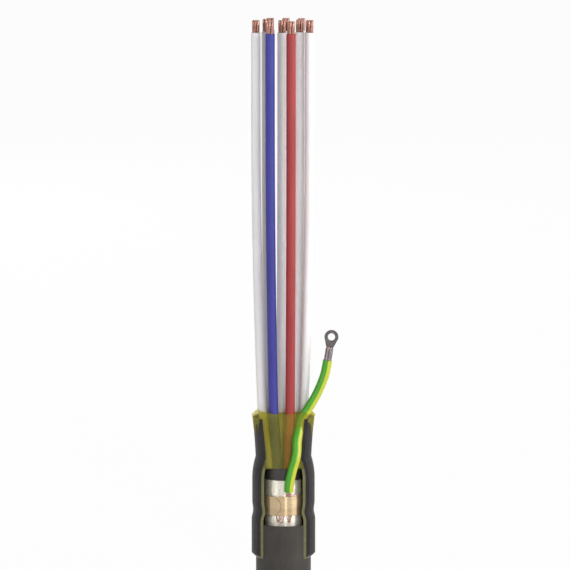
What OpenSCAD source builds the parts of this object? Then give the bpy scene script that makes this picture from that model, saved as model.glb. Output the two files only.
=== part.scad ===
// Heat-shrink termination of a ten-core screened control cable, made as a sectioned sample.
// Z runs up the cable from its cut end. One flat section, facing -Y, opens the sleeve, its
// adhesive and the sealant, and leaves the pieces inside whole. Sizes are in millimetres.

/* [Cable] */
// Outer diameter of the sheath
sheath_d = 24.9; // [24.5:0.1:25.5]
// Height of the sheath's stripped edge
sheath_top = 31.3; // [28:0.1:33]
// Depth to which the sheath is roughened under the sleeve
rough_depth = 0.2; // [0.18:0.01:0.25]
// Height of the screen's stripped edge
screen_top = 51.7; // [49:0.1:54]
// Thickness of the screen tape
screen_wall = 0.12; // [0.1:0.01:0.16]
// Height of the inner belt's stripped edge
belt_top = 57.1; // [56:0.1:57.8]
// Thickness of the inner belt
belt_wall = 0.3; // [0.25:0.01:0.35]

/* [Cores] */
// Outer diameter of a core's insulation
core_d = 4.25; // [4:0.05:4.3]
// Diameter over the strands of a conductor
conductor_d = 3.3; // [2.8:0.1:3.4]
// Height of the insulation's stripped edge
insulation_top = 254; // [230:1:300]
// Bare conductor above the insulation
bare_length = 5.6; // [4:0.1:10]

/* [Roll spring] */
// Height of the spring's lower edge
spring_z = 35.8; // [34.5:0.1:37]
// Width of the spring's strip
spring_w = 8.7; // [7:0.1:9]
// Thickness of the strip
spring_t = 0.25; // [0.2:0.01:0.3]
// Turns of the strip
spring_turns = 2.3; // [1.2:0.1:3]
// Length over which the strip's end is chamfered
tongue_taper = 2.4; // [1.5:0.1:3]
// Width of the strip's very end
tongue_w = 3.6; // [2:0.1:5]

/* [Shrink sleeve] */
// Wall of the sleeve
sleeve_wall = 1.2; // [1:0.05:1.3]
// Thickness of the adhesive inside it
liner_wall = 0.95; // [0.7:0.05:1.1]
// Height of the sleeve's lower edge
sleeve_low = 15.7; // [12:0.1:18]
// Height of the sleeve's upper edge
sleeve_top = 79.8; // [79:0.1:80.5]
// Height where the step over the sheath ends
step_z = 33.2; // [32:0.1:34]
// Groove above the step: height
groove_z = 37.3; // [37:0.1:38]
// Groove above the step: diameter
groove_d = 27.5; // [27:0.1:28]
// Bulge over the spring: diameter
bulge_d = 28.3; // [28:0.1:28.8]
// Waist over the cores: height
waist_z = 61.8; // [61:0.1:63]
// Waist over the cores: diameter
waist_d = 25.2; // [25:0.1:26]
// Diameter at the upper edge
flare_d = 27.6; // [27.4:0.1:28]

/* [Sealant] */
// Height of the top face
plug_top = 83; // [82.8:0.1:83.6]
// How far the rim draws in to the flat top
rim_cone = 2.3; // [1.5:0.1:3]
// How far the rim stands out over the sleeve's upper edge
rim_lip = 0.6; // [0.45:0.05:0.9]
// Height of the rim's edge
rim_z = 80.7; // [80.4:0.1:81]
// Height of the even skirt's lower edge
skirt_z = 78.2; // [77.5:0.1:79]

/* [Section] */
// Distance from the axis to the flat section
section_depth = 8.25; // [8.2:0.05:9]

/* [Earth lead] */
// Outer diameter of the lead's insulation
lead_d = 4.2; // [3.8:0.1:4.2]
// Diameter of one bare strand
strand_d = 0.38; // [0.3:0.01:0.39]
// Diameter of the lead's conductor in the lug
lead_wire_d = 2.5; // [2:0.1:2.6]

/* [Ring lug] */
// Diameter of the hole
lug_hole_d = 3.3; // [3:0.1:3.7]
// Outer diameter of the ring
lug_ring_d = 6.3; // [5.8:0.1:7]
// Thickness of the palm
lug_palm_t = 0.8; // [0.6:0.05:1]
// Length of the barrel
lug_barrel_l = 5.6; // [5:0.1:7]
// Wall of the barrel
lug_barrel_wall = 0.5; // [0.4:0.05:0.6]
// Distance from the barrel's mouth to the hole's centre
lug_reach = 10.6; // [10.4:0.1:13]

/* [Hidden] */
// Clearance between pieces that fit together, and overlap of cutting bodies
fit = 0.02;
over = 1;
round_fn = 64;

// Lay of the cores in the cable: a pair in the middle and eight round it
core_pitch = core_d + fit;
ring_step = 45;
ring_r = core_pitch / 2 * cos(ring_step / 2)
    + sqrt(pow(core_pitch, 2) - pow(core_pitch / 2 * sin(ring_step / 2), 2));

// Radii of the layers, from the cores outward
belt_in_r = ring_r + core_d / 2 + fit;
belt_r = belt_in_r + belt_wall;
screen_in_r = belt_r + fit;
screen_r = screen_in_r + screen_wall;
sheath_in_r = screen_r + fit;
sheath_r = sheath_d / 2;

// The fan of the cores: straight and leaning through the sealant, then easing to upright
lean_z = plug_top + 1;
ease_z = 220;
lean_share = 0.59;
ease_n = 9;
core_sides = 16;

// Each core: its place in the lay, as degrees round from the front or as a side of the middle pair,
// and where its end stands
CORES = [
    ["blue_core", lay(-22.5), [-6, -5.95], "#4f4da0"],
    ["red_core", lay(22.5), [3.4, -5.9], "#b84a4c"],
    ["white_core_1", lay(67.5), [11.7, 0], "#dcd8dc"],
    ["white_core_2", lay(112.5), [8.1, 9.5], "#dcd8dc"],
    ["white_core_3", lay(157.5), [1.1, 10.5], "#dcd8dc"],
    ["white_core_4", lay(-157.5), [-6, 11], "#dcd8dc"],
    ["white_core_5", lay(-112.5), [-7.7, 5.9], "#dcd8dc"],
    ["white_core_6", lay(-67.5), [-12.4, 0], "#dcd8dc"],
    ["white_core_7", [-core_pitch / 2, 0], [-0.6, 0], "#dcd8dc"],
    ["white_core_8", [core_pitch / 2, 0], [7.3, 2.7], "#dcd8dc"]
];

// Sleeve: radii and the stretches of its outline
step_r = sheath_r - rough_depth + fit + liner_wall + sleeve_wall;
groove_r = groove_d / 2;
bulge_r = bulge_d / 2;
waist_r = waist_d / 2;
flare_r = flare_d / 2;
rim_r = flare_r + rim_lip;
bulge_low = groove_z + 4.2;
bulge_high = waist_z - 9.8;
flare_power = 1.15;
outline_n = 8;

// Strands: they leave the lead's end, lie side by side on the screen and fray below the spring
strand_n = 7;
strand_gap = 0.2;
strand_clear = 0.07;
strand_high_angles = [7.5, 22.5];
strand_low_angles = [-19, 23];
strand_low_z = [33.1, 32.6, 34.0, 32.9, 33.8, 32.7, 33.5];
strand_r = screen_r + strand_clear + strand_d / 2;

// Spring: a spiral that lies on the strands, and ends just left of the front
spring_r = screen_r + strand_d + 2 * strand_clear;
spring_pitch = spring_t + 0.05;
spring_facet = 5;
spring_start = 360 * spring_turns;
tongue_angle = 9;
tongue_start = 30;

// Route of the earth lead, from the spring, into the sealant and out of its top, to the lug
LEAD = [
    [2.4, -10.95, 47], [2.6, -11.05, 50], [3.1, -11.1, 53], [3.8, -11.05, 56], [4.6, -10.9, 59],
    [5.45, -10.9, 62], [6.04, -9.85, 65.4], [6.05, -9.07, 68.9], [6.57, -7.83, 72.4], [7.42, -6.1, 76],
    [7.85, -5.71, 79], [9.48, -5.48, 81.7], [11.3, -5.42, 84.3], [12.8, -5.3, 86.8], [14.6, -5.2, 90],
    [16.3, -5.1, 93.5], [17.7, -5.1, 97], [18.8, -5, 100.2], [19.4, -5, 103.2], [19.9, -5, 106.2]
];
lead_last = len(LEAD) - 1;
sealed_from = 4;
sealed_to = 13;
lead_sides = 12;

// Lug: its barrel starts at the lead's end and leans with it
lug_lean = atan2(LEAD[lead_last][0] - LEAD[lead_last - 1][0], LEAD[lead_last][2] - LEAD[lead_last - 1][2]);
lug_barrel_r = lead_wire_d / 2 + fit + lug_barrel_wall;
lug_seam_w = 0.15;
lug_neck_w = 4;

// Skirt of the sealant over the sleeve's upper edge
skirt_t = 0.35;

// Sealant does not reach in between the cores below this height
closed_z = belt_top + 8;
seam_turn = 137;

core_names = [for (core = CORES) core[0]];

// Place of a ring core, by degrees round from the front
function lay(angle) = ring_r * [sin(angle), -cos(angle)];

// Outer radius of the sleeve at a height
function smooth(t) = t * t * (3 - 2 * t);
function share(z, from, to) = max(0, min(1, (z - from) / (to - from)));
function sleeve_r(z) =
    z < groove_z ? step_r + (groove_r - step_r) * smooth(share(z, step_z, groove_z)) :
    z < bulge_low ? groove_r + (bulge_r - groove_r) * smooth(share(z, groove_z, bulge_low)) :
    z < waist_z ? bulge_r + (waist_r - bulge_r) * pow(share(z, bulge_high, waist_z), 2) :
    waist_r + (flare_r - waist_r) * pow(share(z, waist_z, sleeve_top), flare_power);

// Heights at which the sleeve's outline has its points, between two limits
function steps(from, to) = [for (i = [0:outline_n - 1]) from + (to - from) * i / outline_n];
outline_z = concat(steps(step_z, groove_z), steps(groove_z, bulge_low), [bulge_low],
    steps(bulge_high, waist_z), steps(waist_z, sleeve_top));
function heights(from, to) =
    concat([from], [for (z = outline_z) if (z > from + fit && z < to - fit) z], [to]);
function wall_line(from, to, inset) = [for (z = heights(from, to)) [sleeve_r(z) - inset, z]];
function reversed(list) = [for (i = [len(list) - 1:-1:0]) list[i]];

// Outline of a round rod, or of a round hole that clears one
function round_outline(d, sides, clear = false) =
    let (r = d / 2 / (clear ? cos(180 / sides) : 1))
    [for (k = [0:sides - 1]) r * [cos(360 * k / sides), sin(360 * k / sides)]];

// Outline swept along points, with flat ends square to the route, and hollow where a hole is given
function unit(v) = v / norm(v);
function heading(points, i) = let (last = len(points) - 1)
    unit((i > 0 ? unit(points[i] - points[i - 1]) : [0, 0, 0])
        + (i < last ? unit(points[i + 1] - points[i]) : [0, 0, 0]));
function placed(points, i, outline) =
    let (t = heading(points, i), a = unit(cross([0, 1, 0], t)), b = cross(t, a))
    [for (q = outline) points[i] + q[0] * a + q[1] * b];
function skin(rings, n, first, flip) = [for (i = [0:rings - 2], k = [0:n - 1])
    let (m = (k + 1) % n, p = first + i * n, q = p + n)
    each flip ? [[p + k, p + m, q + k], [p + m, q + m, q + k]]
        : [[p + m, p + k, q + k], [q + m, p + m, q + k]]];
function end_rim(n, out, in, flip) = [for (k = [0:n - 1])
    let (m = (k + 1) % n)
    each flip ? [[out + k, out + m, in + k], [out + m, in + m, in + k]]
        : [[out + m, out + k, in + k], [in + m, out + m, in + k]]];
module sweep(points, outline, hole = []) {
    rings = len(points);
    n = len(outline);
    outer = [for (i = [0:rings - 1]) each placed(points, i, outline)];
    inner = [for (i = [0:rings - 1]) each placed(points, i, hole)];
    first_in = len(outer);
    top = (rings - 1) * n;
    solid_ends = [[for (k = [0:n - 1]) k], [for (k = [n - 1:-1:0]) top + k]];
    hollow_ends = concat(end_rim(n, 0, first_in, true), end_rim(n, top, first_in + top, false));
    walls = concat(skin(rings, n, 0, false), len(hole) > 0 ? skin(rings, n, first_in, true) : []);
    polyhedron(concat(outer, inner), concat(walls, len(hole) > 0 ? hollow_ends : solid_ends));
}

// Plain tube between two heights
module tube(out_r, in_r, low, high) {
    translate([0, 0, low])
        difference() {
            cylinder(r = out_r, h = high - low, $fn = round_fn);
            translate([0, 0, -over]) cylinder(r = in_r, h = high - low + 2 * over, $fn = round_fn);
        }
}

// Everything in front of the flat section
module section_cut() {
    size = 4 * rim_r;
    translate([-size / 2, -section_depth - size, -over]) cube([size, size, plug_top + 2 * over]);
}

// Route of a core: upright in the cable, spread by a share of its travel at each height
function core_share(z) =
    z < lean_z ? lean_share * share(z, belt_top, lean_z) :
    1 - (1 - lean_share) * pow(1 - share(z, lean_z, ease_z), 2);
function core_point(core, z) = let (p = core[1] + (core[2] - core[1]) * core_share(z)) [p[0], p[1], z];
eased_z = [for (i = [0:ease_n]) lean_z + (ease_z - lean_z) * pow(i / ease_n, 1.5)];
function core_route(core, high) = [for (z = concat([0, belt_top], eased_z, [high])) core_point(core, z)];

// Outline of a conductor: six strands round a seventh, as lobes with narrow grooves between them
conductor_outline = [for (k = [0:11]) conductor_d / 2 * (k % 2 == 0 ? 1 : 0.86) * [cos(30 * k), sin(30 * k)]];

module core_insulation(core) {
    color(core[3]) sweep(core_route(core, insulation_top), round_outline(core_d, core_sides),
        round_outline(conductor_d + 2 * fit, core_sides, true));
}

module core_conductor(core) {
    color("#c98a6f") sweep(core_route(core, insulation_top + bare_length), conductor_outline);
}

// Sheath, bare up to the sleeve and roughened under it so that the adhesive grips
module outer_sheath() {
    color("#46423f")
        rotate_extrude($fn = 2 * round_fn)
            polygon([[sheath_in_r, 0], [sheath_r, 0], [sheath_r, sleeve_low],
                [sheath_r - rough_depth, sleeve_low], [sheath_r - rough_depth, sheath_top],
                [sheath_in_r, sheath_top]]);
}

module screen_tape() {
    color("#d8d3c4") tube(screen_r, screen_in_r, 0, screen_top);
}

module inner_belt() {
    color("#35322f") tube(belt_r, belt_in_r, 0, belt_top);
}

// Outline of the spring's strip between two angles of its spiral, counted from the front
function spiral_r(angle) = spring_r + spring_pitch * (angle + spring_start) / 360;
function spiral(from, to, lift) = let (n = ceil((to - from) / spring_facet))
    [for (i = [0:n]) let (a = from + (to - from) * i / n) (spiral_r(a) + lift) * [sin(a), -cos(a)]];
module strip(from, to) {
    linear_extrude(spring_w) polygon(concat(spiral(from, to, 0), reversed(spiral(from, to, spring_t))));
}

// Constant-force spring: a spiral strip whose outer turn ends in a chamfered tongue at the front
module roll_spring() {
    tip_x = -spiral_r(0) * sin(tongue_angle);
    slope = (spring_w - tongue_w) / 2 / tongue_taper;
    color("#d9be9a")
        translate([0, 0, spring_z]) {
            strip(-spring_start, -tongue_start);
            difference() {
                strip(-tongue_start, -tongue_angle);
                for (side = [0, 1])
                    translate([tip_x, 0, spring_w / 2])
                        mirror([0, 0, side])
                            rotate([90, 0, 0])
                                linear_extrude(2 * spiral_r(0))
                                    polygon([[-tongue_taper - over, spring_w / 2 + slope * over],
                                        [over, tongue_w / 2 - slope * over],
                                        [over, spring_w / 2 + slope * over]]);
            }
        }
}

// Bare strands of the lead, from its end down under the spring
function between(range, k) = range[0] + (range[1] - range[0]) * k / (strand_n - 1);
function on_screen(angle, z, lift) = [(strand_r + lift) * sin(angle), -(strand_r + lift) * cos(angle), z];
function in_lead(k) = LEAD[0] + (k == 0 ? [0, 0, 0] : lead_wire_d / 3 * [cos(60 * k), sin(60 * k), 0]);
module earth_strands() {
    spring_top = spring_z + spring_w;
    order = [3, 4, 2, 0, 1, 5, 6];
    color("#d8a58c")
        for (k = [0:strand_n - 1]) {
            high = between(strand_high_angles, k);
            low = between(strand_low_angles, k);
            sweep([
                in_lead(order[k]) - [0, 0, strand_gap],
                (in_lead(order[k]) + on_screen(high, spring_top, 0)) / 2 + [0, 0, -0.3],
                on_screen(high, spring_top + 0.2, 0),
                on_screen(high, spring_top - 2, 0),
                on_screen((high + low) / 2, spring_z + spring_w / 2, 0),
                on_screen(low, spring_z + 0.5, 0),
                on_screen(low + 2 * sin(100 * k), strand_low_z[k], 0.35 + 0.3 * sin(137 * k))
            ], round_outline(strand_d, 6));
        }
}

// Heat-shrunk sleeve, tapered off at its lower edge and opened by the section
module shrink_sleeve() {
    color("#3a3736")
        difference() {
            rotate_extrude($fn = 2 * round_fn)
                polygon(concat(
                    [[step_r - sleeve_wall, sleeve_low + liner_wall]],
                    wall_line(sleeve_low + liner_wall + sleeve_wall, sleeve_top, 0),
                    reversed(wall_line(step_z, sleeve_top, sleeve_wall))
                ));
            section_cut();
        }
}

// Hot-melt adhesive between the sleeve and the sheath, up to the sealant
module adhesive_liner() {
    outer = sleeve_wall + fit;
    inner = sleeve_wall + liner_wall;
    color("#6e6b42")
        difference() {
            rotate_extrude($fn = 2 * round_fn)
                polygon(concat(
                    [[step_r - inner, sleeve_low]],
                    wall_line(sleeve_low + liner_wall, belt_top - fit, outer),
                    reversed(wall_line(step_z, belt_top - fit, inner))
                ));
            section_cut();
        }
}

// Straight round hole along a stretch of a route, turned so that its seam stays clear of the other holes
module hole_along(from, to, d) {
    way = to - from;
    translate(from)
        rotate([0, acos(way[2] / norm(way)), atan2(way[1], way[0])])
            rotate([0, 0, seam_turn])
                translate([0, 0, -over]) cylinder(d = d, h = norm(way) + 2 * over, $fn = round_fn);
}

// Sealant cast round the cores and the lead, with a skirt over the sleeve's upper edge. The middle cores
// run free in the hollow between the ring cores, and enter it above that.
module sealant_plug() {
    gap = sleeve_wall + fit;
    skirt_r = sleeve_r(skirt_z);
    color("#a5a13c", 0.75)
        difference() {
            rotate_extrude($fn = 2 * round_fn)
                polygon(concat([[0, belt_top + fit]], wall_line(belt_top + fit, sleeve_top + fit, gap),
                    [[flare_r + fit, sleeve_top + fit], [skirt_r + fit, skirt_z],
                     [skirt_r + skirt_t, skirt_z], [rim_r, rim_z], [rim_r - rim_cone, plug_top],
                     [0, plug_top]]));
            section_cut();
            for (core = CORES)
                hole_along(core_point(core, norm(core[1]) < ring_r / 2 ? closed_z : belt_top),
                    core_point(core, lean_z), core_d + 2 * fit);
            translate([0, 0, belt_top - over])
                cylinder(r = ring_r, h = closed_z - belt_top + over, $fn = round_fn);
            sweep([for (i = [sealed_from:sealed_to]) LEAD[i]],
                round_outline(lead_d + 2 * fit, lead_sides, true));
        }
}

module earth_lead() {
    color("#6fae34") sweep(LEAD, round_outline(lead_d, lead_sides));
}

// The lug's own frame: its mouth on the lead's end, its length along Z, its face toward -Y
module at_lug() {
    translate(LEAD[lead_last])
        rotate([0, lug_lean, 0])
            translate([0, 0, fit]) children();
}

module lug_wire_end() {
    color("#c98a6f")
        at_lug() cylinder(d = lead_wire_d, h = lug_barrel_l + 0.5, $fn = round_fn);
}

// Ring lug: a flat palm with a rolled barrel, and the seam of the roll down its front
module ring_lug() {
    ring_r_out = lug_ring_d / 2;
    neck_low = lug_barrel_l - 0.9;
    neck_high = lug_barrel_l + 1.2;
    root_x = 0.6 * lug_barrel_r;
    side_x = ring_r_out * cos(30);
    side_z = lug_reach - ring_r_out * sin(30);
    color("#6a6868")
        at_lug()
            difference() {
                union() {
                    cylinder(r = lug_barrel_r, h = lug_barrel_l, $fn = round_fn);
                    translate([0, lug_barrel_r, 0])
                        rotate([90, 0, 0])
                            linear_extrude(lug_palm_t) {
                                translate([0, lug_reach]) circle(r = ring_r_out, $fn = round_fn);
                                polygon([[-root_x, neck_low], [root_x, neck_low], [lug_neck_w / 2, neck_high],
                                    [side_x, side_z], [-side_x, side_z], [-lug_neck_w / 2, neck_high]]);
                            }
                }
                translate([0, 0, -over])
                    cylinder(d = lead_wire_d + 2 * fit, h = lug_barrel_l + 0.5 + fit + over, $fn = round_fn);
                translate([0, lug_barrel_r + over, lug_reach])
                    rotate([90, 0, 0])
                        cylinder(d = lug_hole_d, h = lug_palm_t + 2 * over, $fn = round_fn);
                translate([-lug_seam_w / 2, -lug_barrel_r - over, -over])
                    cube([lug_seam_w, lug_barrel_wall / 2 + over, lug_barrel_l + 2 * over]);
            }
}

outer_sheath();
screen_tape();
inner_belt();
roll_spring();
earth_strands();
shrink_sleeve();
adhesive_liner();
sealant_plug();
earth_lead();
lug_wire_end();
ring_lug();
for (core = CORES) {
    core_insulation(core);
    core_conductor(core);
}
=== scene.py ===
"""Looks of a sectioned cable termination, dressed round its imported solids.

Shapes are drawn in millimetres in the part's own frame, Z up the cable and the section facing -Y,
and each finished piece is scaled to metres.
"""
import math

import bmesh
import bpy
from mathutils import Matrix, Vector, noise


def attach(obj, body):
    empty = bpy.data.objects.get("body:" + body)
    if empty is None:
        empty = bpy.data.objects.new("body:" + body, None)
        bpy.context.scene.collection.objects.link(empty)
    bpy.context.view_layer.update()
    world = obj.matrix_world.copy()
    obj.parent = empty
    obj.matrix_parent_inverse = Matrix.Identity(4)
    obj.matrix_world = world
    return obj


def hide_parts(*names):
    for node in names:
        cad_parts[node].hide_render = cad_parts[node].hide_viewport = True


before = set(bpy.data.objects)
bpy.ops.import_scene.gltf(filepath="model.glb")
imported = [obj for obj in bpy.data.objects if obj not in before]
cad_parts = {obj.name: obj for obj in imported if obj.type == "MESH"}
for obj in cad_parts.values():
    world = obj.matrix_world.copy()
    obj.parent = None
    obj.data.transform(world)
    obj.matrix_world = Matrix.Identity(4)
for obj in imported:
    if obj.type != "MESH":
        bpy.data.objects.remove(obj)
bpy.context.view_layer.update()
MM = 0.001

# Layers of the cable, from the cores outward
CORE_R, CORE_BORE_R, PAIR_X = 2.125, 1.68, 2.135
STRAND_R, STRAND_LAY_MM, STRAND_SPREAD = 0.55, 150, 0.1
BELT_IN_R, BELT_R, BELT_TOP = 8.309, 8.609, 57.1
SCREEN_IN_R, SCREEN_R, SCREEN_TOP, CREASE_LOW, CREASE_DEPTH = 8.629, 8.749, 51.7, 31, 0.14
JACKET_IN_R, JACKET_R, JACKET_TOP = 8.769, 12.45, 31.3
ROUGH_DEPTH = 0.2
INSULATION_TOP, COPPER_TOP = 254, 259.6

# Shrink sleeve, its adhesive and the sealant
SECTION_Y = -8.25
SLEEVE_LOW, SLEEVE_TOP, SLEEVE_WALL, LINER_WALL, FIT = 15.7, 79.8, 1.2, 0.95, 0.02
STEP_R, GROOVE_R, BULGE_R, WAIST_R, FLARE_R = 14.42, 13.75, 14.15, 12.6, 13.8
STEP_Z, GROOVE_Z, BULGE_LOW, BULGE_HIGH, WAIST_Z, FLARE_POWER = 33.2, 37.3, 41.5, 52, 61.8, 1.15
SKIRT_Z, SKIRT_T, RIM_R, RIM_Z, PLUG_R, PLUG_TOP = 78.2, 0.35, 14.4, 80.7, 12.1, 83
# Dish in the sealant's top: radius, and depth below the top
DISH = [(11.5, 0.15), (10.2, 0.6), (9.2, 0.9), (8.4, 1), (0, 1)]
# Drips down the sleeve: degrees round from the front, half the width in degrees, height of the tip
DRIPS = [(-56.6, 2.5, 72), (-69, 12, 71.9), (69, 12, 71.9), (98, 10, 74.4), (128, 12, 70.8),
         (163, 11, 73.6), (-162, 13, 71.4), (-130, 10, 74.8), (-99, 11, 72.6)]

# Fan of the cores: straight and leaning in the sealant, then easing to upright
LEAN_Z, EASE_Z, LEAN_SHARE = 84, 220, 0.59
RING_R = 6.164

# Rolled spring and the strands under it
SPRING_Z, SPRING_W, SPRING_T, SPRING_PITCH, SPRING_IN_R = 35.8, 8.7, 0.25, 0.3, 9.269
SPRING_START, TONGUE_ANGLE, TONGUE_TAPER, TONGUE_W, TONGUE_LIFT, LIFT_RUN = 828, 9, 2.4, 3.6, 0.9, 5
EARTH_STRAND_R, EARTH_STRAND_LAY_R = 0.19, 9.009
# Spread of the strands above and below the spring, in degrees round from the front
FAN_TOP, FAN_FOOT = (7.5, 22.5), (-19, 23)
# Order of the strands in the lead, as sixths of a ring round its middle one
FAN_ORDER, LEAD_STRAND_RING_R = [3, 4, 2, 0, 1, 5, 6], 0.83
# Frayed ends below the spring, and stray ends above it: degrees round from the front and height
FRAY_Z = [33.1, 32.6, 33.9, 32.9, 33.6, 32.7, 33.4]
STRAYS = [(29, 45.3), (38, 44.9), (46, 45.1), (52, 44.8)]

# Earth lead: its route from the spring to the lug
LEAD_R = 2.1
LEAD_ROUTE = [
    (2.4, -10.95, 47), (2.6, -11.05, 50), (3.1, -11.1, 53), (3.8, -11.05, 56), (4.6, -10.9, 59),
    (5.45, -10.9, 62), (6.04, -9.85, 65.4), (6.05, -9.07, 68.9), (6.57, -7.83, 72.4), (7.42, -6.1, 76),
    (7.85, -5.71, 79), (9.48, -5.48, 81.7), (11.3, -5.42, 84.3), (12.8, -5.3, 86.8), (14.6, -5.2, 90),
    (16.3, -5.1, 93.5), (17.7, -5.1, 97), (18.8, -5, 100.2), (19.4, -5, 103.2), (19.9, -5, 106.2),
]
LEAD_LENGTH, LEAD_SIDES, LEAD_WIRE_R, LEAD_WIRE_LAY_MM = 64, 32, 0.41, 25

# Ring lug in its own frame: mouth at the origin, length along Z, barrel's seam toward -Y
LUG_LEAN = math.atan2(0.5, 3)
BARREL_R, BARREL_IN_R, BARREL_L, SEAM_ANGLE, SEAM_DEPTH = 1.77, 1.27, 5.6, 26, 0.4
PALM_R, PALM_HOLE_R, PALM_T, PALM_REACH, NECK_W, NECK_ANGLE = 3.15, 1.65, 0.8, 10.6, 4, 60
NECK_LAP, NECK_RISE, ROLL_GAP, ROLL_STEPS = 0.9, 1.2, 2, 89


def smooth(t):
    t = max(0, min(1, t))
    return t * t * (3 - 2 * t)


def share(z, low, high):
    return max(0, min(1, (z - low) / (high - low)))


def sleeve_r(z):
    """Outer radius of the shrunk sleeve at a height."""
    if z < GROOVE_Z:
        return STEP_R + (GROOVE_R - STEP_R) * smooth(share(z, STEP_Z, GROOVE_Z))
    if z < BULGE_LOW:
        return GROOVE_R + (BULGE_R - GROOVE_R) * smooth(share(z, GROOVE_Z, BULGE_LOW))
    if z < WAIST_Z:
        return BULGE_R + (WAIST_R - BULGE_R) * share(z, BULGE_HIGH, WAIST_Z) ** 2
    return WAIST_R + (FLARE_R - WAIST_R) * share(z, WAIST_Z, SLEEVE_TOP) ** FLARE_POWER


def levels(low, high, step):
    """Evenly spaced heights up or down, ends included."""
    n = max(1, round(abs(high - low) / step))
    return [low + (high - low) * i / n for i in range(n + 1)]


def wall(low, high, inset, step=0.6):
    """Outline points up a line that runs inside the sleeve's outer surface."""
    return [(sleeve_r(z) - inset, z) for z in levels(low, high, step)]


def turned(outline, sides=128, closed=True):
    """Spins an outline of (radius, height) points about the cable's axis."""
    bm = bmesh.new()
    verts = [bm.verts.new((r, 0, z)) for r, z in outline]
    pairs = list(zip(verts, verts[1:])) + ([(verts[-1], verts[0])] if closed else [])
    edges = [bm.edges.new(pair) for pair in pairs]
    bmesh.ops.spin(bm, geom=verts + edges, axis=(0, 0, 1), cent=(0, 0, 0), angle=math.tau,
                   steps=sides, use_merge=True)
    tidy(bm)
    return bm


def tidy(bm):
    bmesh.ops.remove_doubles(bm, verts=bm.verts, dist=1e-4)
    bmesh.ops.recalc_face_normals(bm, faces=bm.faces)


def rim_edges(bm):
    return [e for e in bm.edges if e.is_boundary]


def section(bm):
    """Cuts away what stands in front of the flat section, and closes the cut."""
    bmesh.ops.bisect_plane(bm, geom=bm.verts[:] + bm.edges[:] + bm.faces[:], dist=1e-5,
                           plane_co=(0, SECTION_Y, 0), plane_no=(0, -1, 0), clear_outer=True)
    bmesh.ops.edgeloop_fill(bm, edges=rim_edges(bm))
    tidy(bm)


def along(route):
    """Places along a route, square to it and without twist."""
    points = [Vector(p) for p in route]
    places = []
    heading = Vector((0, 0, 1))
    turn = Matrix.Identity(3)
    for i, point in enumerate(points):
        ahead = (points[min(i + 1, len(points) - 1)] - points[max(i - 1, 0)]).normalized()
        turn = heading.rotation_difference(ahead).to_matrix() @ turn
        heading = ahead
        places.append(Matrix.Translation(point) @ turn.to_4x4())
    return places


def drawn(bm, edges, places):
    """Draws edges that lie in the first place's own frame through the row of places."""
    start = {v for e in edges for v in e.verts}
    bmesh.ops.transform(bm, matrix=places[0], verts=list(start))
    last = places[0]
    for place in places[1:]:
        new = bmesh.ops.extrude_edge_only(bm, edges=edges)["geom"]
        verts = {g for g in new if isinstance(g, bmesh.types.BMVert)}
        bmesh.ops.transform(bm, matrix=place @ last.inverted(), verts=list(verts))
        edges = [g for g in new if isinstance(g, bmesh.types.BMEdge) and set(g.verts) <= verts]
        last = place


def rod(bm, route, radius, sides):
    """A round rod along a route, closed at both ends."""
    ring = bmesh.ops.create_circle(bm, segments=sides, radius=radius)["verts"]
    edges = list({e for v in ring for e in v.link_edges})
    drawn(bm, edges, along(route))
    bmesh.ops.edgeloop_fill(bm, edges=rim_edges(bm))


def eased(route, parts):
    """Points of a smooth curve through a route, with each stretch split into parts."""
    points = [Vector(p) for p in route]
    ends = [2 * points[0] - points[1]] + points + [2 * points[-1] - points[-2]]
    curve = []
    for a, b, c, d in zip(ends, ends[1:], ends[2:], ends[3:]):
        for k in range(parts):
            t = k / parts
            curve.append(0.5 * (2 * b + (c - a) * t + (2 * a - 5 * b + 4 * c - d) * t ** 2
                                + (3 * b - a - 3 * c + d) * t ** 3))
    return curve + [points[-1]]


def piece(name, bm, material, slot, *nodes, crease=35, bevel=0, second=None, where=None):
    """Makes a finished piece in metres that stands for its CAD nodes.

    The second material goes on the faces whose middle passes the test in where.
    """
    tidy(bm)
    for face in bm.faces:
        face.material_index = int(bool(where and where(face.calc_center_median())))
    bmesh.ops.scale(bm, vec=(MM, MM, MM), verts=bm.verts)
    mesh = bpy.data.meshes.new(name)
    bm.to_mesh(mesh)
    bm.free()
    mesh.shade_smooth()
    mesh.set_sharp_from_angle(angle=math.radians(crease))
    mesh.materials.append(material)
    if second:
        mesh.materials.append(second)
    obj = bpy.data.objects.new(name, mesh)
    bpy.context.scene.collection.objects.link(obj)
    if bevel:
        edge = obj.modifiers.new("worn edges", "BEVEL")
        edge.width = bevel * MM
        edge.segments = 2
        edge.angle_limit = math.radians(crease)
        edge.use_clamp_overlap = True
    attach(obj, "root")
    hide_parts(*nodes)
    return obj


def linear(code):
    """Linear colour of an sRGB hex value."""
    channels = [int(code[i:i + 2], 16) / 255 for i in (1, 3, 5)]
    return [c / 12.92 if c <= 0.04045 else ((c + 0.055) / 1.055) ** 2.4 for c in channels] + [1]


def add(tree, kind, inputs=(), **settings):
    """Adds a node with its settings, and links or sets its inputs."""
    node = tree.nodes.new("ShaderNode" + kind)
    for key, value in settings.items():
        setattr(node, key, value)
    for key, value in dict(inputs).items():
        if isinstance(value, bpy.types.NodeSocket):
            tree.links.new(value, node.inputs[key])
        else:
            node.inputs[key].default_value = value
    return node


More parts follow.
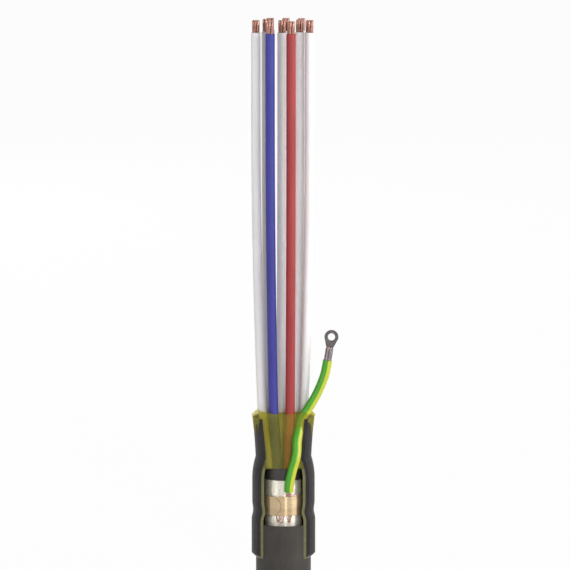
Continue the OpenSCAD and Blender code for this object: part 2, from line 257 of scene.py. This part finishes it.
def surface(name, dark, light, rough, patch_mm, grain_mm, relief_mm, stretch=(1, 1, 1), colour=None,
            **sockets):
    """A surface whose colour drifts between two tones in patches, with a grain in its relief and gloss."""
    material = bpy.data.materials.new(name)
    material.use_nodes = True
    tree = material.node_tree
    shader = tree.nodes["Principled BSDF"]
    place = add(tree, "TexCoord").outputs["Object"]
    drawn_out = add(tree, "Mapping", {"Vector": place, "Scale": stretch}).outputs["Vector"]
    patches, grain = [add(tree, "TexNoise", {
        "Vector": drawn_out, "Scale": 1 / (size * MM), "Detail": detail}).outputs["Fac"]
        for size, detail in ((patch_mm, 3), (grain_mm, 2))]
    if colour is None:
        tones = add(tree, "ValToRGB", {"Fac": patches})
        for stop, position, tone in zip(tones.color_ramp.elements, (0.3, 0.7), (dark, light)):
            stop.position = position
            stop.color = linear(tone)
        tree.links.new(tones.outputs["Color"], shader.inputs["Base Color"])
    else:
        tree.links.new(colour(tree), shader.inputs["Base Color"])
    gloss = add(tree, "MapRange", {"Value": grain, "From Min": 0.3, "From Max": 0.7,
                                   "To Min": rough * 0.85, "To Max": rough * 1.15}).outputs["Result"]
    tree.links.new(gloss, shader.inputs["Roughness"])
    relief = add(tree, "Bump", {"Height": grain, "Strength": 1, "Distance": relief_mm * MM}).outputs["Normal"]
    tree.links.new(relief, shader.inputs["Normal"])
    for key, value in sockets.items():
        shader.inputs[key.replace("_", " ")].default_value = value
    return material


# Camera: level with the photograph, on the section's side
target = Vector((0.0007, 0, 0.13975))
elevation = math.radians(7.6)
reach = 2.835
eye = target + reach * Vector((0, -math.cos(elevation), math.sin(elevation)))
camera_data = bpy.data.cameras.new("camera")
camera_data.lens = 397.1
camera_data.sensor_width = 36
camera = bpy.data.objects.new("camera", camera_data)
camera.matrix_world = Matrix.Translation(eye) @ (target - eye).to_track_quat("-Z", "Y").to_matrix().to_4x4()
bpy.context.scene.collection.objects.link(camera)
bpy.context.scene.camera = camera
bpy.context.scene.view_settings.view_transform = "Standard"

# Extruded PVC: matt, with drawn lines along the cable
jacket_pvc = surface("extruded PVC jacket", "#2e2a26", "#37332e", 0.55, 3, 0.25, 0.012,
                     stretch=(1, 1, 0.35), Specular_IOR_Level=0.35)
# Heat-shrunk polyolefin: satin, faintly wrinkled where it drew in
sleeve_skin = surface("heat-shrunk polyolefin", "#1a1716", "#242020", 0.5, 6, 1.4, 0.03,
                      stretch=(1, 1, 0.5), Specular_IOR_Level=0.25)
# Hot-melt adhesive: waxy olive
hot_melt = surface("hot-melt adhesive", "#575530", "#6a683e", 0.4, 2, 0.5, 0.02)
# Extruded rubber belt: dull black
belt_rubber = surface("rubber belt", "#2b2826", "#363230", 0.6, 2, 0.3, 0.015)
# Bronze strip: rolled, so its gloss runs across the fine lines left round the roll
bronze = surface("rolled bronze strip", "#ab926f", "#d0b894", 0.3, 5, 0.12, 0.001,
                 stretch=(0.06, 0.06, 1), Metallic=0.6, Anisotropic=0.85, Anisotropic_Rotation=0.25)
# Aluminium foil tape: bright, finely creased
foil = surface("creased foil tape", "#cfc9ba", "#efeadc", 0.3, 4, 0.7, 0.006, Metallic=0.5,
               Anisotropic=0.8, Anisotropic_Rotation=0.25)
# Annealed copper wire: drawn, a little oxidised
copper = surface("drawn copper wire", "#80564a", "#ac8276", 0.27, 0.9, 0.1, 0.001,
                 stretch=(1, 1, 0.1), Metallic=0.85)
# Flexible copper strands: a lighter copy of the drawn copper, a painted highlight that lifts them out of the
# shade under the lead
strand_copper_painted_light = surface("flexible strands, painted light copper", "#b98c7d", "#e6cdc2", 0.4, 0.6, 0.1, 0.002, Metallic=0.3)
# Tinned copper: dull grey, stamped
tin = surface("tinned copper lug", "#544f4f", "#6a6465", 0.3, 1.2, 0.15, 0.004, Metallic=1)
# Barrel of the lug: a lighter copy of the tin, a painted highlight on the curved barrel
barrel_tin_painted_highlight = surface("tinned barrel, painted lighter", "#6e6668", "#958c8f", 0.22, 1.2, 0.15, 0.002,
                     Metallic=0.8, Anisotropic=0.7, Anisotropic_Rotation=0.25)
# Core insulation: smooth extruded PVC, slightly glossy
white_pvc, blue_pvc, red_pvc = [
    surface(name, dark, light, 0.5, 5, 0.6, 0.001, stretch=(1, 1, 0.15), Specular_IOR_Level=0.35)
    for name, dark, light in (("white core PVC", "#e2dfdf", "#ebe9e9"),
                              ("blue core PVC", "#313183", "#3b3b93"),
                              ("red core PVC", "#902b2d", "#a03739"))]


def two_tone(tree):
    """Green and yellow halves, by the side of the lead that a point lies on."""
    side = add(tree, "Attribute", attribute_name="side").outputs["Fac"]
    halves = add(tree, "ValToRGB", {"Fac": side})
    for stop, position, tone in zip(halves.color_ramp.elements, (0.55, 0.63), ("#3c9604", "#b6bb2c")):
        stop.position = position
        stop.color = linear(tone)
    return halves.outputs["Color"]


# Earth lead insulation: soft PVC, green on one side and yellow on the other
lead_pvc = surface("green and yellow lead PVC", None, None, 0.38, 3, 0.4, 0.006, colour=two_tone)

# Cast sealant: translucent olive, which lets little blue through and darkens with depth
sealant_resin = surface("cast olive sealant", "#a09c44", "#b2ae52", 0.25, 6, 1.5, 0.006)
resin_tree = sealant_resin.node_tree
resin_out = resin_tree.nodes["Material Output"]
let_through = add(resin_tree, "BsdfTransparent", {"Color": linear("#f6f19c")}).outputs["BSDF"]
resin_face = add(resin_tree, "MixShader", {
    "Fac": 0.26, 1: let_through, 2: resin_tree.nodes["Principled BSDF"].outputs["BSDF"]}).outputs["Shader"]
resin_tree.links.new(resin_face, resin_out.inputs["Surface"])
resin_depth = add(resin_tree, "VolumeAbsorption", {"Color": linear("#ebe56c"), "Density": 220})
resin_tree.links.new(resin_depth.outputs["Volume"], resin_out.inputs["Volume"])

# Earth lead
lead_curve = eased(LEAD_ROUTE, 2)
lead_bm = bmesh.new()
side_layer = lead_bm.verts.layers.float.new("side")
rod(lead_bm, lead_curve, LEAD_R, LEAD_SIDES)
lead_places = along(lead_curve)
for i, vert in enumerate(lead_bm.verts):
    vert[side_layer] = 0.5 + (lead_places[i // LEAD_SIDES].inverted() @ vert.co).x / (2 * LEAD_R)
lead = piece("lead_cord", lead_bm, lead_pvc, "earth_lead", "earth_lead")

# Wire end and lug on the lead
lug_place = Matrix.Translation(LEAD_ROUTE[-1]) @ Matrix.Rotation(LUG_LEAN, 4, "Y")


def strand_bundle(bm, radius, low, high, twist_mm, step, spread=0):
    """Six strands twisted round a seventh, a hair apart, which may spread above the insulation."""
    thick = 0.985 * radius
    for k in range(7):
        strand = turned([(0, low)] + [(thick, z) for z in levels(low, high - 0.5 * radius, step)]
                        + [(0.7 * thick, high - 0.15 * radius), (0, high)], 10, closed=False)
        offset = Vector((2 * radius, 0, 0)) if k else Vector()
        for vert in strand.verts:
            turn = math.tau * vert.co.z / twist_mm + math.radians(60 * k)
            opened = 1 + spread * share(vert.co.z, INSULATION_TOP, INSULATION_TOP + 2)
            vert.co = Matrix.Rotation(turn, 3, "Z") @ (vert.co + offset)
            vert.co.xy *= opened
        scratch = bpy.data.meshes.new("strand")
        strand.to_mesh(scratch)
        strand.free()
        bm.from_mesh(scratch)
        bpy.data.meshes.remove(scratch)


wire_bm = bmesh.new()
strand_bundle(wire_bm, LEAD_WIRE_R, FIT, BARREL_L + 0.25, LEAD_WIRE_LAY_MM, 0.8)
bmesh.ops.transform(wire_bm, matrix=lug_place, verts=wire_bm.verts)
# The wire's end takes the lighter strand copper, a painted highlight along the barrel's top
wire_end = piece("lead_wire_tip", wire_bm, strand_copper_painted_light, "copper", "lug_wire_end")


def ring_edges(verts):
    return list({e for v in verts for e in v.link_edges})


# The palm is stamped from a ring whose lower part is drawn down into a neck, and the barrel is rolled
lug_bm = bmesh.new()
palm_rim = bmesh.ops.create_circle(lug_bm, segments=72, radius=PALM_R)["verts"]
palm_hole = bmesh.ops.create_circle(lug_bm, segments=72, radius=PALM_HOLE_R)["verts"]
neck_turn = math.radians(NECK_ANGLE)
neck = [(0, BARREL_L - NECK_LAP), (0.6 * BARREL_R, BARREL_L - NECK_LAP), (NECK_W / 2, BARREL_L + NECK_RISE),
        (PALM_R * math.sin(neck_turn), PALM_REACH - PALM_R * math.cos(neck_turn))]
for vert in palm_rim:
    angle = math.degrees(math.atan2(vert.co.x, -vert.co.y))
    if abs(angle) < NECK_ANGLE:
        along_neck = 3 * abs(angle) / NECK_ANGLE
        k = int(along_neck)
        spot = Vector(neck[k]).lerp(neck[k + 1], along_neck - k)
        vert.co.xy = math.copysign(spot.x, angle), spot.y - PALM_REACH
bmesh.ops.bridge_loops(lug_bm, edges=ring_edges(palm_rim + palm_hole))
bmesh.ops.recalc_face_normals(lug_bm, faces=lug_bm.faces)
bmesh.ops.solidify(lug_bm, geom=lug_bm.faces[:], thickness=PALM_T)
underside = min(v.co.z for v in lug_bm.verts)
bmesh.ops.translate(lug_bm, vec=(0, 0, -underside), verts=lug_bm.verts)
bmesh.ops.transform(lug_bm, verts=lug_bm.verts, matrix=Matrix.Translation((0, BARREL_R, PALM_REACH))
                    @ Matrix.Rotation(math.radians(90), 4, "X"))
barrel = [lug_bm.verts.new((0, -r, z)) for r, z in
          [(BARREL_IN_R, 0)] + [(BARREL_R, z) for z in levels(0, BARREL_L, 0.7)] + [(BARREL_IN_R, BARREL_L)]]
wall_edges = [lug_bm.edges.new(pair) for pair in zip(barrel, barrel[1:] + barrel[:1])]
bmesh.ops.rotate(lug_bm, cent=(0, 0, 0), matrix=Matrix.Rotation(math.radians(ROLL_GAP), 3, "Z"), verts=barrel)
bmesh.ops.spin(lug_bm, geom=barrel + wall_edges, axis=(0, 0, 1), cent=(0, 0, 0),
               angle=math.radians(360 - 2 * ROLL_GAP), steps=ROLL_STEPS)
bmesh.ops.edgeloop_fill(lug_bm, edges=rim_edges(lug_bm))
for vert in lug_bm.verts:
    to_seam = abs(math.degrees(math.atan2(vert.co.x, -vert.co.y))) / SEAM_ANGLE
    if to_seam < 1 and BARREL_IN_R < vert.co.xy.length < BARREL_R + 0.01 and vert.co.z < BARREL_L + 0.01:
        vert.co.xy *= 1 - SEAM_DEPTH * (1 - to_seam) ** 2 / BARREL_R
bmesh.ops.transform(lug_bm, matrix=lug_place, verts=lug_bm.verts)


# Faces of the barrel, which take the lighter tin of the painted highlight
def on_barrel(middle):
    spot = lug_place.inverted() @ middle
    return spot.z < BARREL_L + 0.01 and spot.xy.length < BARREL_R


lug = piece("lug_ring", lug_bm, tin, "lug", "ring_lug", bevel=0.1, second=barrel_tin_painted_highlight, where=on_barrel)

# Jacket, screen and belt
piece("jacket", turned(
    [(JACKET_IN_R, 0), (JACKET_R - 0.1, 0), (JACKET_R, 0.1)]
    + [(JACKET_R, z) for z in levels(1, SLEEVE_LOW, 2)]
    + [(JACKET_R - ROUGH_DEPTH, z) for z in levels(SLEEVE_LOW + 2, JACKET_TOP - 0.15, 2)]
    + [(JACKET_R - ROUGH_DEPTH - 0.15, JACKET_TOP), (JACKET_IN_R + 2.4, JACKET_TOP),
       (JACKET_IN_R + 1.6, JACKET_TOP - 0.5), (JACKET_IN_R, JACKET_TOP - 0.6)]),
    jacket_pvc, "sheath", "outer_sheath")
piece("belt_tube", turned(
    [(BELT_IN_R, 0)] + [(BELT_R, z) for z in levels(0, BELT_TOP, 4)] + [(BELT_IN_R, BELT_TOP)]),
    belt_rubber, "belt", "inner_belt", bevel=0.06)

foil_bm = turned([(SCREEN_IN_R, 0), (SCREEN_R, 0)]
                 + [(SCREEN_R, z) for z in levels(CREASE_LOW, SCREEN_TOP, 0.35)]
                 + [(SCREEN_IN_R, z) for z in levels(SCREEN_TOP, CREASE_LOW, 0.35)], 200)
for vert in foil_bm.verts:
    bare = smooth(share(vert.co.z, JACKET_TOP, JACKET_TOP + 1.5))
    crease = 0.5 + 0.5 * noise.noise(vert.co * 0.55) + 0.35 * noise.noise(vert.co * 1.6)
    vert.co.xy *= 1 + bare * CREASE_DEPTH * max(0, crease) / SCREEN_R
piece("foil_screen", foil_bm, foil, "screen", "screen_tape", crease=60)

# Rolled spring: a strip drawn round its spiral, with a chamfered tongue
spring_bm = bmesh.new()
ends = [spring_bm.verts.new((0, -1, z)) for z in (SPRING_Z, SPRING_Z + SPRING_W)]
turns = [math.radians(-SPRING_START + (SPRING_START - TONGUE_ANGLE) * i / 280) for i in range(281)]


def on_spiral(angle):
    radius = SPRING_IN_R + SPRING_PITCH * (angle / math.tau + SPRING_START / 360)
    return Matrix.Rotation(angle, 4, "Z") @ Matrix.Diagonal((radius, radius, 1, 1))


drawn(spring_bm, [spring_bm.edges.new(ends)], [on_spiral(a) for a in turns])
spring_bm.verts.ensure_lookup_table()
spring_middle = SPRING_Z + SPRING_W / 2
for i, angle in enumerate(turns):
    to_tip = (turns[-1] - angle) * (SPRING_IN_R + SPRING_PITCH * SPRING_START / 360)
    width = TONGUE_W + (SPRING_W - TONGUE_W) * min(1, to_tip / TONGUE_TAPER)
    lift = TONGUE_LIFT * (1 - min(1, to_tip / LIFT_RUN)) ** 2
    for vert in spring_bm.verts[2 * i:2 * i + 2]:
        vert.co.z = spring_middle + math.copysign(width / 2, vert.co.z - spring_middle)
        vert.co.xy *= 1 + lift / vert.co.xy.length
bmesh.ops.recalc_face_normals(spring_bm, faces=spring_bm.faces)
bmesh.ops.solidify(spring_bm, geom=spring_bm.faces[:], thickness=SPRING_T)
piece("spring_roll", spring_bm, bronze, "spring", "roll_spring", bevel=0.08)


def on_screen(angle, z, lift=0):
    """A place on the screen under the spring, by its angle round from the front."""
    radius = EARTH_STRAND_LAY_R + lift
    return Vector((radius * math.sin(angle), -radius * math.cos(angle), z))


def wave(degrees):
    return math.sin(math.radians(degrees))


# Bare strands of the lead, laid under the spring and frayed below it
strand_bm = bmesh.new()
lead_foot = Vector(LEAD_ROUTE[0])
spring_top = SPRING_Z + SPRING_W
for k, (order, fray_z) in enumerate(zip(FAN_ORDER, FRAY_Z)):
    high, low = [math.radians(first + (last - first) * k / 6) for first, last in (FAN_TOP, FAN_FOOT)]
    start = lead_foot.copy()
    if order:
        turn = math.radians(60 * order)
        start += LEAD_STRAND_RING_R * Vector((math.cos(turn), math.sin(turn), 0))
    route = [start, (start + on_screen(high, spring_top)) / 2 + Vector((0, 0, -0.3)),
             on_screen(high, spring_top + 0.2), on_screen(high, spring_top - 2),
             on_screen((high + low) / 2, spring_middle), on_screen(low, SPRING_Z + 0.5),
             on_screen(low + 0.05 * wave(100 * k), fray_z + 0.9, 0.3),
             on_screen(low + 0.14 * wave(100 * k + 30), fray_z, 0.45 + 0.25 * wave(137 * k)),
             on_screen(low + 0.24 * wave(100 * k + 50), fray_z + 0.35 * wave(155 * k),
                       0.55 + 0.35 * wave(137 * k))]
    rod(strand_bm, eased(route, 5), EARTH_STRAND_R, 8)
for degrees, z in STRAYS:
    route = [lead_foot + Vector((0.6, 0.4, 0))] + [
        on_screen(math.radians(a), height, lift) for a, height, lift in (
            (16, 46, 0.891), (22, z, 0.341), ((22 + degrees) / 2, z - 0.1, 0.241), (degrees, z, 0.291))]
    rod(strand_bm, eased(route, 4), EARTH_STRAND_R, 8)
# Strands above the spring take the lighter copper, a painted highlight; the frayed ends below it keep the
# drawn copper
piece("strand_fan", strand_bm, strand_copper_painted_light, "copper", "earth_strands", second=copper,
      where=lambda spot: spot.z < SPRING_Z + 1)

# Shrink sleeve and its adhesive, opened by the section
sleeve_bm = turned([(STEP_R - SLEEVE_WALL, SLEEVE_LOW + LINER_WALL)]
                   + wall(SLEEVE_LOW + LINER_WALL + SLEEVE_WALL, SLEEVE_TOP, 0)
                   + wall(SLEEVE_TOP, STEP_Z, SLEEVE_WALL))
section(sleeve_bm)
piece("sleeve_shell", sleeve_bm, sleeve_skin, "sleeve", "shrink_sleeve", bevel=0.06)
liner_bm = turned([(STEP_R - SLEEVE_WALL - LINER_WALL, SLEEVE_LOW)]
                  + wall(SLEEVE_LOW + LINER_WALL, BELT_TOP - FIT, SLEEVE_WALL + FIT)
                  + wall(BELT_TOP - FIT, STEP_Z, SLEEVE_WALL + LINER_WALL))
section(liner_bm)
piece("adhesive_film", liner_bm, hot_melt, "adhesive", "adhesive_liner", bevel=0.04)

# Sealant: cast round the cores, with drips that have run down over the sleeve's edge
skirt = levels(SLEEVE_TOP, SKIRT_Z, 0.16)
sealant_bm = turned([(0, BELT_TOP + FIT)] + wall(BELT_TOP + FIT, SLEEVE_TOP + FIT, SLEEVE_WALL + FIT)
                    + [(sleeve_r(z) + FIT, z) for z in skirt]
                    + [(sleeve_r(z) + SKIRT_T, z) for z in reversed(skirt)]
                    + [(RIM_R - 0.05, RIM_Z - 0.3), (RIM_R, RIM_Z), (RIM_R - 0.15, RIM_Z + 0.2),
                       (PLUG_R + 0.1, PLUG_TOP - 0.1), (PLUG_R - 0.1, PLUG_TOP)]
                    + [(r, PLUG_TOP - depth) for r, depth in DISH], 256, closed=False)
for vert in sealant_bm.verts:
    radius = vert.co.xy.length
    if vert.co.z > SLEEVE_TOP or radius < sleeve_r(vert.co.z):
        continue
    angle = math.degrees(math.atan2(vert.co.x, -vert.co.y))
    tip = SKIRT_Z + 0.15 * noise.noise(Vector((angle / 7, 0, 0)))
    for middle_angle, half, low in DRIPS:
        near = abs((angle - middle_angle + 180) % 360 - 180) / half
        if near < 1:
            tip = min(tip, SKIRT_Z - (SKIRT_Z - low) * (1 - near ** 0.75) ** 1.6)
    down = (SLEEVE_TOP - vert.co.z) / (SLEEVE_TOP - SKIRT_Z)
    proud = radius - sleeve_r(vert.co.z)
    vert.co.z = SLEEVE_TOP - down * (SLEEVE_TOP - tip)
    vert.co.xy *= (sleeve_r(vert.co.z) + proud * (1 - 0.3 * down)) / radius
section(sealant_bm)
piece("sealant_cast", sealant_bm, sealant_resin, "sealant", "sealant_plug", crease=50)

# Cores: place in the lay, as degrees round from the front or a side of the middle pair, and the end's place
CORES = [("blue_core", -22.5, (-6, -5.95)), ("red_core", 22.5, (3.4, -5.9)),
         ("white_core_1", 67.5, (11.7, 0)), ("white_core_2", 112.5, (8.1, 9.5)),
         ("white_core_3", 157.5, (1.1, 10.5)), ("white_core_4", -157.5, (-6, 11)),
         ("white_core_5", -112.5, (-7.7, 5.9)), ("white_core_6", -67.5, (-12.4, 0)),
         ("white_core_7", None, (-0.6, 0)), ("white_core_8", None, (7.3, 2.7))]


def fanned(bm, foot, end):
    """Leans a straight core along its way in the fan."""
    for vert in bm.verts:
        z = vert.co.z
        gone = LEAN_SHARE * share(z, BELT_TOP, LEAN_Z)
        if z > LEAN_Z:
            gone = 1 - (1 - LEAN_SHARE) * (1 - share(z, LEAN_Z, EASE_Z)) ** 2
        vert.co.xy += foot + (end - foot) * gone


for name, lay, end in CORES:
    foot = Vector((PAIR_X if name.endswith("8") else -PAIR_X, 0))
    if lay is not None:
        foot = RING_R * Vector((math.sin(math.radians(lay)), -math.cos(math.radians(lay))))
    colour = name.split("_")[0]
    skin = turned([(CORE_BORE_R, 0)] + [(CORE_R, z) for z in levels(0, INSULATION_TOP - 0.2, 4)]
                  + [(CORE_R - 0.2, INSULATION_TOP), (CORE_BORE_R, INSULATION_TOP)]
                  + [(CORE_BORE_R, z) for z in levels(INSULATION_TOP - 4, 4, 4)], 40)
    fanned(skin, foot, Vector(end))
    piece(name + "_skin", skin, {"blue": blue_pvc, "red": red_pvc, "white": white_pvc}[colour],
          "core_" + colour, name + "_insulation")
    wire = bmesh.new()
    strand_bundle(wire, STRAND_R, 0, COPPER_TOP, STRAND_LAY_MM, 2.2, spread=STRAND_SPREAD)
    fanned(wire, foot, Vector(end))
    piece(name + "_wire", wire, copper, "copper", name + "_conductor", crease=60)


def seen(tree):
    """One where the camera looks, straight or by way of gloss or glass."""
    rays = add(tree, "LightPath").outputs
    looked_at = rays["Is Camera Ray"]
    for way in ("Is Glossy Ray", "Is Transmission Ray"):
        looked_at = add(tree, "Math", {0: looked_at, 1: rays[way]}, operation="MAXIMUM").outputs[0]
    return looked_at


# Floor: pale and plain, white to the camera with a trace of the shadow
floor_bm = bmesh.new()
bmesh.ops.create_grid(floor_bm, x_segments=1, y_segments=1, size=12)
floor_mesh = bpy.data.meshes.new("floor")
floor_bm.to_mesh(floor_mesh)
floor_bm.free()
floor = bpy.data.objects.new("floor", floor_mesh)
bpy.context.scene.collection.objects.link(floor)
paper = bpy.data.materials.new("white studio paper")
paper.use_nodes = True
paper_tree = paper.node_tree
matt = paper_tree.nodes["Principled BSDF"]
matt.inputs["Base Color"].default_value = linear("#f4f4f4")
matt.inputs["Roughness"].default_value = 0.9
FLOOR_WHITE = 0.96
part_white = add(paper_tree, "Math", {0: seen(paper_tree), 1: FLOOR_WHITE}, operation="MULTIPLY").outputs[0]
white = add(paper_tree, "Emission").outputs["Emission"]
blend = add(paper_tree, "MixShader", {"Fac": part_white, 1: matt.outputs["BSDF"], 2: white}).outputs["Shader"]
paper_tree.links.new(blend, paper_tree.nodes["Material Output"].inputs["Surface"])
floor_mesh.materials.append(paper)

# World: white to the eye and to gloss, a softer level as light
world = bpy.data.worlds.new("studio")
bpy.context.scene.world = world
world.use_nodes = True
sky = world.node_tree
level = add(sky, "MapRange", {"Value": seen(sky), "To Min": 0.31, "To Max": 1}).outputs["Result"]
sky.links.new(level, sky.nodes["Background"].inputs["Strength"])
sky.nodes["Background"].inputs["Color"].default_value = (1, 1, 1, 1)


def lamp(name, place, width, height, watts):
    """A soft box aimed at the middle of the part."""
    light = bpy.data.lights.new(name, "AREA")
    light.shape = "RECTANGLE"
    light.size = width
    light.size_y = height
    light.energy = watts
    obj = bpy.data.objects.new(name, light)
    aim = Vector((0, 0, 0.13)) - Vector(place)
    obj.matrix_world = Matrix.Translation(place) @ aim.to_track_quat("-Z", "Y").to_matrix().to_4x4()
    bpy.context.scene.collection.objects.link(obj)


lamp("key right", (1.5, -0.6, 0.6), 1.4, 1.1, 23)
lamp("fill left", (-1.1, -1.15, 0.5), 0.6, 0.9, 6)
lamp("back fill", (-0.6, 1.5, 0.7), 0.9, 0.9, 8)
lamp("strip by the camera", (0.34, -1.46, 0.45), 0.08, 0.85, 6)
